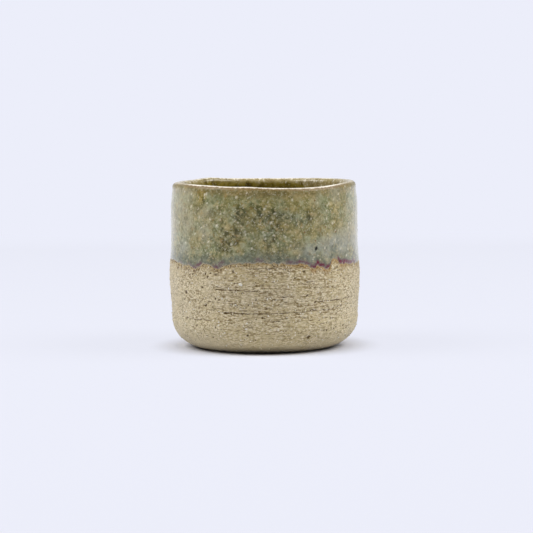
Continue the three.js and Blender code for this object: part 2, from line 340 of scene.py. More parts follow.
def coated(points, thickness):
    """Section points moved square to the section, to its right, by thickness(height)."""
    moved = []
    for k, (radius, height) in enumerate(points):
        before = points[max(k - 1, 0)]
        after = points[min(k + 1, len(points) - 1)]
        run = Vector((after[0] - before[0], after[1] - before[1])).normalized()
        move = thickness(height)
        moved.append((max(radius + run.y * move, 0.0), height - run.x * move))
    return moved


def clay_section():
    """From the middle of the underside, up the outside, over the lip and down to the middle of the bowl."""
    fine_top = DIP_HEIGHT + CLAY_FINE_PAST_DIP
    rows = [(0.0, DISH_DEPTH)]
    rows += [(r, DISH_DEPTH) for r in steps(0, RING_INSIDE - DISH_SLOPE, DISH_ROW)]
    rows += [(RING_INSIDE - 0.5 * DISH_SLOPE, 0.45 * DISH_DEPTH), (RING_INSIDE, 0.0)]
    rows += [(r, 0.0) for r in steps(RING_INSIDE, FOOT_RADIUS, RING_ROW)]
    rows += arc(FOOT_RADIUS, FOOT_CORNER, FOOT_CORNER, -90, 0, CLAY_ROW)
    rows += [(outside_radius(z), z) for z in steps(FOOT_CORNER, fine_top, CLAY_ROW)]
    rows += [(outside_radius(z), z) for z in steps(fine_top, RIM_HEIGHT, UNDER_DIP_ROW)]
    rows += arc(CROWN_RADIUS, RIM_HEIGHT, LIP_ROUND, 0, 180, LIP_ROW)
    rows += [(inside_radius(z), z) for z in steps(RIM_HEIGHT, BOWL_WALL_BOTTOM, UNDER_LINER_ROW)]
    middle = inside_radius(BOWL_WALL_BOTTOM) - BOWL_CORNER
    rows += arc(middle, BOWL_WALL_BOTTOM, BOWL_CORNER, 0, -90, UNDER_CORNER_ROW)
    rows += [(r, FLOOR) for r in steps(middle, 0, UNDER_POOL_ROW)]
    return rows


def dip_thickness(height):
    """Thickness of the dipped coat, whose lower edge is drawn here at the mean height of the dip line."""
    rise = height - DIP_HEIGHT
    edge = math.sqrt(max(0.0, 1 - (1 - min(rise / BEAD_RISE, 1)) ** 2))
    outline = [(BEAD_RISE, BEAD), (BEAD_REACH, GLAZE), (RIM_HEIGHT - DIP_HEIGHT, GLAZE)]
    return edge * smooth(outline + [(CLAY_HEIGHT - DIP_HEIGHT, CROWN_GLAZE)], rise)


def dipped_section():
    """Up the face of the dipped coat to the crown of the lip, and back down inside the clay."""
    toe = [DIP_HEIGHT + rise for rise in BEAD_RISES]
    bead = steps(toe[-1], DIP_HEIGHT + BEAD_REACH, BEAD_ROW)
    wall = steps(DIP_HEIGHT + BEAD_REACH, RIM_HEIGHT, GLAZE_ROW)
    face = [(outside_radius(z), z) for z in toe + bead + wall]
    face += arc(CROWN_RADIUS, RIM_HEIGHT, LIP_ROUND, 0, 90, BEAD_ROW)
    back = face[::BACK_EVERY] + [face[-1]]
    return coated(face, dip_thickness) + coated(back, lambda height: -SUNK)[::-1]


def liner_section():
    """From the middle of the coat's hidden back, out and up to the crown, and back down its face."""
    face = [(CROWN_RADIUS, CLAY_HEIGHT)]
    face += arc(CROWN_RADIUS, RIM_HEIGHT, LIP_ROUND, 90, 180, BEAD_ROW)
    face += [(inside_radius(z), z) for z in steps(RIM_HEIGHT, BOWL_WALL_BOTTOM, LINER_ROW)]
    middle = inside_radius(BOWL_WALL_BOTTOM) - BOWL_CORNER
    face += arc(middle, BOWL_WALL_BOTTOM, BOWL_CORNER, 0, -90, LINER_ROW)
    face += [(r, FLOOR) for r in steps(middle, 0, POOL_ROW)]
    depth = [(FLOOR, POOL), (BOWL_WALL_BOTTOM, LINER), (RIM_HEIGHT, LINER), (CLAY_HEIGHT, CROWN_GLAZE)]
    back = face[:-1:BACK_EVERY] + [face[-1]]
    shown = coated(face, lambda height: smooth(depth, height))
    return coated(back, lambda height: -SUNK)[::-1] + shown


# Colours, as they look


def srgb(red, green, blue):
    """A colour given as it looks, 0 to 255, in linear light."""
    shares = [value / 255 for value in (red, green, blue)]
    linear = [s / 12.92 if s <= 0.04045 else ((s + 0.055) / 1.055) ** 2.4 for s in shares]
    return (*linear, 1.0)


# Node trees written as expressions


class Wire:
    """A node's output that takes part in arithmetic: each operation adds the Math node that does it."""

    def __init__(self, tree, socket):
        self.tree = tree
        self.socket = socket

    def __add__(self, other):
        return self.tree.math("ADD", self, other)

    def __radd__(self, other):
        return self.tree.math("ADD", other, self)

    def __sub__(self, other):
        return self.tree.math("SUBTRACT", self, other)

    def __rsub__(self, other):
        return self.tree.math("SUBTRACT", other, self)

    def __mul__(self, other):
        return self.tree.math("MULTIPLY", self, other)

    def __rmul__(self, other):
        return self.tree.math("MULTIPLY", other, self)

    def __truediv__(self, other):
        return self.tree.math("DIVIDE", self, other)

    def __pow__(self, other):
        return self.tree.math("POWER", self, other)

    def beside(self, name):
        """Another output of the same node."""
        return Wire(self.tree, self.socket.node.outputs[name])


class Tree:
    """A node tree that is being written."""

    def __init__(self, data):
        self.data = data

    def node(self, kind, settings=None, sockets=None, output=0):
        """Adds a node: its settings first, then values or wires for its sockets, by name or by place."""
        made = self.data.nodes.new(kind)
        for name, value in (settings or {}).items():
            setattr(made, name, value)
        usable = [socket for socket in made.inputs if socket.enabled]
        for key, value in (sockets or {}).items():
            socket = usable[key] if isinstance(key, int) else next(s for s in usable if s.name == key)
            if isinstance(value, Wire):
                self.data.links.new(value.socket, socket)
            else:
                socket.default_value = value
        outputs = [socket for socket in made.outputs if socket.enabled]
        if not outputs:
            return None
        found = outputs[output] if isinstance(output, int) else next(s for s in outputs if s.name == output)
        return Wire(self, found)

    def math(self, operation, *values):
        return self.node("ShaderNodeMath", {"operation": operation}, dict(enumerate(values)))

    def vector(self, operation, *values):
        return self.node("ShaderNodeVectorMath", {"operation": operation}, dict(enumerate(values)))

    def scaled(self, vector, factor):
        sockets = {"Vector": vector, "Scale": factor}
        return self.node("ShaderNodeVectorMath", {"operation": "SCALE"}, sockets)

    def ease(self, value, start, end, low=0.0, high=1.0):
        """A smooth step of value from low at start to high at end, level beyond them."""
        sockets = {"Value": value, "From Min": start, "From Max": end, "To Min": low, "To Max": high}
        return self.node("ShaderNodeMapRange", {"interpolation_type": "SMOOTHSTEP"}, sockets)

    def parts(self, vector):
        """The x, y and z of a vector."""
        first = self.node("ShaderNodeSeparateXYZ", {}, {0: vector})
        return first, first.beside("Y"), first.beside("Z")

    def noise(self, place, size, seed, detail=2.0, roughness=0.5):
        """Cloudy noise of about 0 to 1, with features of a size."""
        moved = self.vector("ADD", place, [seed * step for step in NOISE_APART])
        sockets = {"Vector": moved, "Scale": 1 / size, "Detail": detail, "Roughness": roughness}
        return self.node("ShaderNodeTexNoise", {}, sockets)

    def cells(self, place, size, seed):
        """Scattered cells of a size: the distance to the nearest middle in cells, and a chance per cell."""
        moved = self.vector("ADD", place, [seed * step for step in CELLS_APART])
        distance = self.node("ShaderNodeTexVoronoi", {}, {"Vector": moved, "Scale": 1 / size})
        chance = self.parts(distance.beside("Color"))[0]
        return distance, chance

    def dots(self, place, size, seed, share, radius):
        """Soft round dots in a share of scattered cells, with a radius in cells."""
        distance, chance = self.cells(place, size, seed)
        return self.ease(distance, radius, radius * DOT_CORE) * self.math("LESS_THAN", chance, share)

    def blend(self, factor, first, second):
        """Mixes two colours."""
        sockets = {"Factor": factor, "A": first, "B": second}
        return self.node("ShaderNodeMix", {"data_type": "RGBA"}, sockets)

    def strayed(self, place, scale):
        """A vector of three noises about 0.5 that wanders from place to place."""
        sockets = {"Vector": place, "Scale": scale, "Detail": 2.0}
        return self.node("ShaderNodeTexNoise", {}, sockets, "Color")


class Paint(Tree):
    """The tree of a new material, with its shader and the colour that is laid on it coat by coat."""

    def __init__(self, name, roughness):
        self.material = bpy.data.materials.new(name)
        self.material.use_nodes = True
        super().__init__(self.material.node_tree)
        self.shader = self.data.nodes["Principled BSDF"]
        self.colour = None
        self.fix("Roughness", roughness)

    def fix(self, name, value):
        """Sets a socket of the shader that is the same all over."""
        self.shader.inputs[name].default_value = value

    def feed(self, name, wire):
        """Links what changes over the surface to a socket of the shader."""
        self.data.links.new(wire.socket, self.shader.inputs[name])

    def place(self):
        """Where a shaded point is on the cup, in millimetres."""
        return self.scaled(self.node("ShaderNodeTexCoord", {}, {}, "Object"), 1 / MM)

    def kept(self, name):
        """A value that the shape kept on its points."""
        return self.node("ShaderNodeAttribute", {"attribute_name": name}, {}, "Fac")

    def lay(self, factor, colour):
        """Lays a share of a colour over those before it."""
        self.colour = self.blend(factor, self.colour, colour)

    def bump(self, height, depth):
        """Fine relief in the shading, from a height of 0 to 1 and the depth in millimetres of that 1."""
        sockets = {"Height": height, "Distance": depth * MM, "Strength": 1.0}
        self.feed("Normal", self.node("ShaderNodeBump", {}, sockets))


# Geometry Nodes


class Shape(Tree):
    """A Geometry Nodes tree with named inputs, and the geometry that it works on."""

    def __init__(self, name):
        super().__init__(bpy.data.node_groups.new(name, "GeometryNodeTree"))
        self.values = {}
        self.entry = self.data.nodes.new("NodeGroupInput")
        self.geometry = self.entered("Geometry", "NodeSocketGeometry")

    def entered(self, name, kind, value=None):
        """A named input of the tree, with the value that it gets on the modifier."""
        socket = self.data.interface.new_socket(name=name, in_out="INPUT", socket_type=kind)
        if value is not None:
            self.values[socket.identifier] = value
        return Wire(self, next(s for s in self.entry.outputs if s.identifier == socket.identifier))

    def size(self, name, value):
        return self.entered(name, "NodeSocketFloat", value)

    def drawn(self, name, thing):
        """The geometry of another object that the tree reads."""
        entry = self.entered(name, "NodeSocketObject", thing)
        return self.node("GeometryNodeObjectInfo", {}, {"Object": entry}, "Geometry")

    def named(self, name):
        settings = {"data_type": "FLOAT"}
        return self.node("GeometryNodeInputNamedAttribute", settings, {"Name": name})

    def place(self):
        """Where each point is, in millimetres."""
        return self.scaled(self.node("GeometryNodeInputPosition"), 1 / MM)

    def near(self, place, scale, stray):
        """Where each point is, in metres, astray by up to about half of stray millimetres."""
        wander = self.vector("SUBTRACT", self.strayed(place, scale), (0.5, 0.5, 0.5))
        return self.vector("ADD", self.node("GeometryNodeInputPosition"), self.scaled(wander, stray * MM))

    def move(self, **sockets):
        """Moves the points to a Position, or by an Offset, in metres."""
        self.geometry = self.node("GeometryNodeSetPosition", {}, {"Geometry": self.geometry, **sockets})

    def raise_by(self, height):
        """Moves the points out along the surface by a height in millimetres."""
        self.move(Offset=self.scaled(self.node("GeometryNodeInputNormal"), height * MM))

    def keep(self, name, value):
        """Stores a value on the points under a name, for the material."""
        self.geometry = self.stored(self.geometry, name, value)
        return self.named(name)

    def stored(self, geometry, name, value, domain="POINT"):
        """A geometry with a value stored on it under a name."""
        settings = {"data_type": "FLOAT", "domain": domain}
        sockets = {"Geometry": geometry, "Name": name, "Value": value}
        return self.node("GeometryNodeStoreNamedAttribute", settings, sockets)

    def scattered(self, per_square_mm, seed, smallest, largest):
        """Marks strewn over the surface, most of them near the smallest reach."""
        sockets = {"Mesh": self.geometry, "Density": per_square_mm / (MM * MM), "Seed": seed}
        points = self.node("GeometryNodeDistributePointsOnFaces", {"distribute_method": "RANDOM"}, sockets)
        reach = smallest + (largest - smallest) * self.chance(0.0, 1.0, seed) ** 2
        points = self.stored(points, "reach", reach)
        return self.stored(points, "strength", self.chance(0.5, 1.0, seed + 1))

    def chance(self, low, high, seed, kind="FLOAT"):
        """A random value for each point."""
        sockets = {"Min": low, "Max": high, "Seed": seed}
        return self.node("FunctionNodeRandomValue", {"data_type": kind}, sockets)

    def marked(self, marks, place, core=0.15, thickness=None):
        """The strength of the nearest mark at a place: whole within the core share of its reach, and 0 past
        its reach. With a thickness, in millimetres, the marks are long and level."""
        nearest = self.node("GeometryNodeSampleNearest", {}, {"Geometry": marks, "Sample Position": place})

        def sample(kind, value):
            sockets = {"Geometry": marks, "Value": value, "Index": nearest}
            return self.node("GeometryNodeSampleIndex", {"data_type": kind}, sockets)

        middle = sample("FLOAT_VECTOR", self.node("GeometryNodeInputPosition"))
        away = self.scaled(self.vector("SUBTRACT", place, middle), 1 / MM)
        reach = sample("FLOAT", self.named("reach"))
        if thickness is None:
            share = self.vector("LENGTH", away) / reach
        else:
            x, y, z = self.parts(away)
            share = self.math("SQRT", (x * x + y * y) / (reach * reach) + (z / thickness) ** 2)
        return self.ease(share, 1.0, core) * sample("FLOAT", self.named("strength"))

    def blurred(self, value, times):
        """A value evened out over the neighbouring points."""
        sockets = {"Value": value, "Iterations": times}
        return self.node("GeometryNodeBlurAttribute", {"data_type": "FLOAT"}, sockets)

    def finish(self, material):
        """Ends the tree."""
        entry = self.entered("Material", "NodeSocketMaterial", material)
        realized = self.node("GeometryNodeRealizeInstances", {}, {"Geometry": self.geometry})
        shaded = self.node("GeometryNodeSetShadeSmooth", {}, {"Geometry": realized})
        painted = self.node("GeometryNodeSetMaterial", {}, {"Geometry": shaded, "Material": entry})
        self.data.interface.new_socket(name="Geometry", in_out="OUTPUT", socket_type="NodeSocketGeometry")
        self.node("NodeGroupOutput", {}, {0: painted})


def drawing(name, points, edges=(), **values):
    """An object that a tree reads: points in metres, edges between them, and named values of each point."""
    mesh = bpy.data.meshes.new(name)
    mesh.from_pydata(points, edges, [])
    for key, numbers in values.items():
        mesh.attributes.new(key, "FLOAT", "POINT").data.foreach_set("value", numbers)
    made = bpy.data.objects.new(name, mesh)
    bpy.context.scene.collection.objects.link(made)
    return made


def section_drawing(name, rows, closed, lifts):
    """A section for the wheel."""
    points = [(radius * MM, 0, height * MM) for radius, height in rows]
    edges = [(k, k + 1) for k in range(len(rows) - 1)]
    if closed:
        edges.append((len(rows) - 1, 0))
    radii = [row[0] for row in rows]
    heights = [row[1] for row in rows]
    return drawing(name, points, edges, from_axis=radii, up=heights, lift=lifts)


def ring_drawing(name, columns):
    """The path once round the wheel, with what changes round the cup on each of its points."""
    angles = [-180 + 360 * k / columns for k in range(columns)]
    dips = [dip_at(a) for a in angles]
    points = [on_wall(a, DIP_HEIGHT + dip) for a, dip in zip(angles, dips)]
    edges = [(k, (k + 1) % columns) for k in range(columns)]
    rises = [around(LIP_LINE, a) for a in angles]
    coarse = [around(COARSE_LINE, a) for a in angles]
    turns = [math.radians(a) for a in angles]
    return drawing(name, points, edges, turn=turns, dip=dips, lip_rise=rises, coarse=coarse)


def dots_drawing(name, dots, proud, strength=None):
    """Round marks on the outer wall, from lists of angle, height, radius and maybe strength."""
    points = [on_wall(dot[0], dot[1], proud) for dot in dots]
    strengths = [dot[3] if strength is None else strength for dot in dots]
    return drawing(name, points, reach=[dot[2] for dot in dots], strength=strengths)


def lines_drawing(name, lines, reach, proud, height_at, fade):
    """Long marks on the outer wall, from lists of two angles, two heights and a strength."""
    points = []
    strengths = []
    for start, end, low, high, strength in lines:
        for angle in [start] + steps(start, end, LINE_STEP):
            share = (angle - start) / (end - start)
            points.append(on_wall(angle, height_at(angle, low + (high - low) * share), proud))
            strengths.append(strength * (1 - fade * share))
    return drawing(name, points, reach=[reach] * len(points), strength=strengths)


def turn_on_wheel(shape, section):
    """Turns a section once round the wheel, on a wavy dip line and a lip that isn't quite level."""
    path = shape.node("GeometryNodeMeshToCurve", {}, {"Mesh": shape.geometry})
    profile = shape.node("GeometryNodeMeshToCurve", {}, {"Mesh": shape.drawn("Section", section)})
    shape.geometry = shape.node("GeometryNodeCurveToMesh", {}, {"Curve": path, "Profile Curve": profile})

    def wall(height):
        belly = shape.ease(height, FOOT_CORNER, BELLY_HEIGHT, 0, HIP_TUCK)
        upper = shape.ease(height, BELLY_HEIGHT, UPPER_FROM, 0, UPPER_TUCK)
        return belly - upper - shape.ease(height, RIM_HEIGHT - LIP_TURN_HEIGHT, RIM_HEIGHT, 0, LIP_TURN)

    up = shape.named("up")
    lifted = up + shape.named("lift") * shape.named("dip")
    radius = shape.named("from_axis") + wall(lifted) - wall(up)
    share = shape.math("MAXIMUM", 1 - (CLAY_HEIGHT - lifted) / LIP_LINE_DEPTH, 0)
    height = lifted + shape.named("lip_rise") * share**2
    turn = shape.named("turn")
    x = radius * shape.math("SINE", turn)
    y = radius * shape.math("COSINE", turn) * -1
    shape.move(Position=shape.scaled(shape.node("ShaderNodeCombineXYZ", {}, {0: x, 1: y, 2: height}), MM))
    sockets = {"Geometry": shape.geometry, "Distance": WELD * MM}
    shape.geometry = shape.node("GeometryNodeMergeByDistance", {}, sockets)
    shape.geometry = shape.node("GeometryNodeFlipFaces", {}, {0: shape.geometry})


def made_piece(name, start, shape, kept):
    """The plain mesh that a tree makes from a starting object."""
    modifier = start.modifiers.new(shape.data.name, "NODES")
    modifier.node_group = shape.data
    for identifier, value in shape.values.items():
        modifier[identifier] = value
    depsgraph = bpy.context.evaluated_depsgraph_get()
    evaluated = start.evaluated_get(depsgraph)
    mesh = bpy.data.meshes.new_from_object(evaluated, preserve_all_data_layers=True, depsgraph=depsgraph)
    start.modifiers.clear()
    mesh.name = name
    for spare in [a.name for a in mesh.attributes if a.domain == "POINT" and not a.is_required]:
        if spare not in kept and not spare.startswith("."):
            mesh.attributes.remove(mesh.attributes[spare])
    piece = bpy.data.objects.new(name, mesh)
    bpy.context.scene.collection.objects.link(piece)
    return piece


def erase(*drawings):
    """Takes away drawings that are used up."""
    for made in drawings:
        mesh = made.data
        bpy.data.objects.remove(made)
        bpy.data.meshes.remove(mesh)


# The clay


def raw_clay_shape(section, drags, pits, material):
    """The clay, with drags, tears, pits and grog in its raw lower half."""
    shape = Shape("raw clay")
    turn_on_wheel(shape, section)
    wobble_size = shape.size("Wobble", 0.14)
    lump_size = shape.size("Lumps", 0.14)
    grog_size = shape.size("Grog", 0.16)
    pit_size = shape.size("Pits", 0.36)
    tear_size = shape.size("Tears", 0.2)
    tear_thickness = shape.size("Tear thickness", 0.24)
    proud_size = shape.size("Proud", 0.24)
    seed = shape.entered("Seed", "NodeSocketInt", 4)

    place = shape.place()
    z = shape.parts(place)[2]
    above = shape.keep("above_line", z - DIP_HEIGHT - shape.named("dip"))
    coarse = shape.named("coarse")
    raw = shape.keep("raw", shape.ease(above, 0.3, -0.5) * shape.ease(z, 0.5, 6.0))

    wobble = (shape.noise(place, WOBBLES, 1) - 0.5) * 2 * wobble_size
    lumps = (shape.noise(place, LUMPS, 2, 3, 0.6) - 0.5) * lump_size

    near = shape.near(place, scale=0.9, stray=0.9)
    patchy = shape.ease(shape.noise(place, TEAR_PATCHES, 3), 0.3, 0.6, 0.25, 1.0)
    torn = shape.scattered(raw * coarse * patchy * shape.ease(z, 6, 13, 0.15, 0.3), seed, 0.5, 3.2)
    popped = shape.scattered(raw * (0.2 - coarse * 0.15), seed + 10, 0.24, 0.42)
    grogged = shape.scattered(raw * (coarse * 0.7 + 0.3) * 0.3, seed + 20, 0.3, 0.6)
    broken = shape.ease(shape.noise(place, DRAG_BREAKS, 4), 0.34, 0.6, 0.5, 1.0)
    tear = shape.marked(torn, near, 0.3, tear_thickness) * shape.ease(z, 4.0, 8.0)
    drag = shape.marked(shape.drawn("Drag marks", drags), near, 0.3) * broken
    hole = shape.marked(shape.drawn("Pits drawn", pits), near, 0.5)
    pit = shape.math("MAXIMUM", shape.marked(popped, near, 0.4), hole)
    grog = shape.marked(grogged, near, 0.4)

    drag = shape.keep("drag", drag * raw)
    tear = shape.keep("tear", tear * raw)
    pit = shape.keep("pit", pit * raw)
    grog = shape.keep("grog", grog * raw)
    relief = raw * (wobble + proud_size + lumps) + grog * grog_size
    shape.raise_by(relief - drag - tear * tear_size - pit * pit_size)
    shape.finish(material)
    return shape


BUFF = srgb(206, 190, 152)
WARM_BUFF = srgb(200, 182, 136)
FOOT_BUFF = srgb(213, 197, 149)
PALE_BUFF = srgb(242, 231, 203)
SHADE_BUFF = srgb(114, 89, 24)
# Colour of the drags, tears and pits: partly darker clay, partly painted shade in the hollows
HOLLOW_CLAY_AND_SHADE = srgb(82, 56, 2)
TAN = srgb(164, 140, 92)
BURNT_TAN = srgb(84, 62, 30)
SCORCH = srgb(170, 124, 46)
QUARTZ = srgb(244, 240, 228)


def raw_clay_paint():
    """Buff clay, crumbly and combed, burnt along the dip line, dark in its hollows partly by painted shade,
    and with painted shade towards the floor.
    """
    tree = Paint("raw clay", 0.92)
    place = tree.place()
    above = tree.kept("above_line")
    raw = tree.kept("raw")
    coarse = tree.kept("coarse")
    x, _, z = tree.parts(place)
    clouds = tree.noise(place, CLAY_CLOUDS, 1, 3)
    tree.colour = tree.blend(tree.ease(clouds, 0.35, 0.65), BUFF, WARM_BUFF)
    tree.lay((1 - coarse) * 0.25, PALE_BUFF)
    tree.lay(tree.ease(z, 17, 5) * 0.4, FOOT_BUFF)
    # Painted shade: the clay darkens over its last few millimetres towards the floor, where the foot curves
    # under.
    tree.lay(tree.ease(z, 3.2, 0.6) * 0.45, SHADE_BUFF)
    tree.lay(tree.ease(above, -7, -1) * 0.24, TAN)
    even = (tree.noise(place, GRIT, 2, 2, 0.65) - 0.5) * 2 + 0.5
    dragged = tree.noise(tree.vector("MULTIPLY", place, (0.5, 0.5, 1.6)), DRAGGED_GRIT, 3, 2, 0.65)
    fine = even + (dragged - even) * coarse
    patchy = tree.ease(tree.noise(place, CLAY_PATCHES, 4), 0.3, 0.65, 0.4, 1.0) * (raw * 0.8 + 0.2)
    patchy = patchy * tree.ease(z, 5, 13, 0.65, 1.0)
    tree.lay(tree.ease(fine, 0.5, 0.66) * patchy * 0.8, PALE_BUFF)
    tree.lay(tree.ease(fine, 0.5, 0.34) * patchy * (0.8 - coarse * 0.2), SHADE_BUFF)
    flat = tree.vector("MULTIPLY", place, (0.62, 0.62, 1.3))
    crumbled = tree.vector("ADD", flat, tree.scaled(tree.strayed(place, 1.6), 0.5))
    gap, chance = tree.cells(crumbled, CRUMBS, 11)
    crumbly = patchy * (coarse * 0.2 + 0.8)
    tree.lay(tree.ease(gap, 0.42, 0.08) * tree.ease(chance, 0.3, 0.9) * crumbly * 0.8, PALE_BUFF)
    # Painted shade in the gaps between the crumbs.
    tree.lay(tree.ease(gap, 0.5, 0.78) * crumbly * 0.8, SHADE_BUFF)
    combed = tree.noise(tree.vector("MULTIPLY", place, (0.06, 0.06, 1.0)), COMBED, 7, 2, 0.6)
    combing = tree.ease(tree.noise(place, COMBED_PATCHES, 8), 0.36, 0.56, 0.2, 1.0) * coarse * raw
    tree.lay(tree.ease(combed, 0.44, 0.3) * combing * 0.75, SHADE_BUFF)
    tree.lay(tree.ease(combed, 0.56, 0.7) * combing * 0.5, PALE_BUFF)
    tree.lay(tree.kept("grog") * 0.7, PALE_BUFF)
    spots = tree.ease(tree.noise(place, EDGE_SPOTS, 5, 2, 0.6), 0.42, 0.58)
    edge = tree.ease(above + (tree.noise(place, EDGE_CLOUDS, 9) - 0.5) * 2.4, -1.9, -0.4)
    tree.lay(edge * (spots * 0.6 + 0.35), TAN)
    tree.lay(edge * tree.ease(tree.noise(place, EDGE_BURNS, 10, 1), 0.52, 0.64), BURNT_TAN)
    golden = tree.ease(x, 4, 12) * tree.ease(x, 29, 24)
    tree.lay(edge * golden * 0.35, SCORCH)
    # Drags, tears and pits are darkened: partly darker clay in them, partly painted shade in the hollows.
    drag = tree.ease(tree.kept("drag"), 0.04, 0.2) * 0.85
    tear = tree.ease(tree.kept("tear"), 0.25, 0.8) * 0.7
    pit = tree.ease(tree.kept("pit"), 0.15, 0.6) * 0.9
    sunk_dark_and_shade = tree.math("MAXIMUM", tree.math("MAXIMUM", drag, tear), pit)
    tree.lay(sunk_dark_and_shade, HOLLOW_CLAY_AND_SHADE)
    specks = tree.dots(place, QUARTZ_CELLS, 6, 0.3, 0.2)
    tree.lay(specks * 0.85, QUARTZ)
    tree.feed("Base Color", tree.colour)
    tree.fix("Sheen Weight", 0.3)
    tree.bump(fine - gap * 0.6, 0.14)
    return tree.material


# The dipped glaze

KHAKI = srgb(151, 140, 84)
GREY_GREEN = srgb(141, 144, 100)
BROWN_OLIVE = srgb(132, 112, 62)
OCHRE = srgb(152, 129, 46)
MOSS = srgb(58, 56, 8)
POND = srgb(54, 62, 20)
SAND = srgb(190, 172, 122)
LICHEN = srgb(168, 170, 138)
AMBER = srgb(150, 114, 52)
SLATE = srgb(114, 120, 108)
ASH = srgb(162, 164, 152)
PALE_KHAKI = srgb(170, 164, 136)
WINE = srgb(104, 31, 50)
MAUVE = srgb(114, 90, 98)
CREAM = srgb(232, 224, 200)
RUST = srgb(124, 82, 38)
LIP_BROWN = srgb(122, 92, 48)
LIP_CREAM = srgb(246, 240, 226)
# Painted shade inside the pinhole
PINHOLE_SHADE = srgb(20, 18, 12)
THIN_EDGE = srgb(186, 172, 146)


def dipped_shape(section, flashes, ochre, moss, grey, pinhole, material):
    """The dipped coat, with ripples, grog that lifts it and one blister."""
    shape = Shape("dipped glaze")
    turn_on_wheel(shape, section)
    ripple_size = shape.size("Ripple", 0.12)
    grog_size = shape.size("Grog under the glaze", 0.09)
    hole_size = shape.size("Pinhole", 0.26)
    place = shape.place()
    z = shape.parts(place)[2]
    above = shape.keep("above_line", z - DIP_HEIGHT - shape.named("dip"))
    body = shape.ease(above, 0.2, 2.0)
    ripple = (shape.noise(place, RIPPLES, 11, 2) - 0.5) * ripple_size
    here = shape.node("GeometryNodeInputPosition")
    seed = shape.entered("Seed", "NodeSocketInt", 40)
    grogged = shape.scattered(body * 0.075, seed, 0.28, 0.56)
    grog = shape.keep("grog", shape.marked(grogged, here, 0.3) * body)
    near = shape.near(place, scale=0.4, stray=2.4)
    for name, title, drawn, where, times in (
        ("flash", "Flashes", flashes, here, 3),
        ("ochre", "Ochre patches", ochre, near, 12),
        ("moss", "Moss patches", moss, near, 12),
        ("grey", "Grey patches", grey, near, 24),
    ):
        marks = shape.marked(shape.drawn(title, drawn), where)
        shape.keep(name, shape.blurred(marks, times))
    hole = shape.keep("hole", shape.marked(shape.drawn("Pinhole drawn", pinhole), here, 0.5))
    shape.raise_by(body * ripple + grog * grog_size - hole * hole_size)
    shape.finish(material)
    return shape


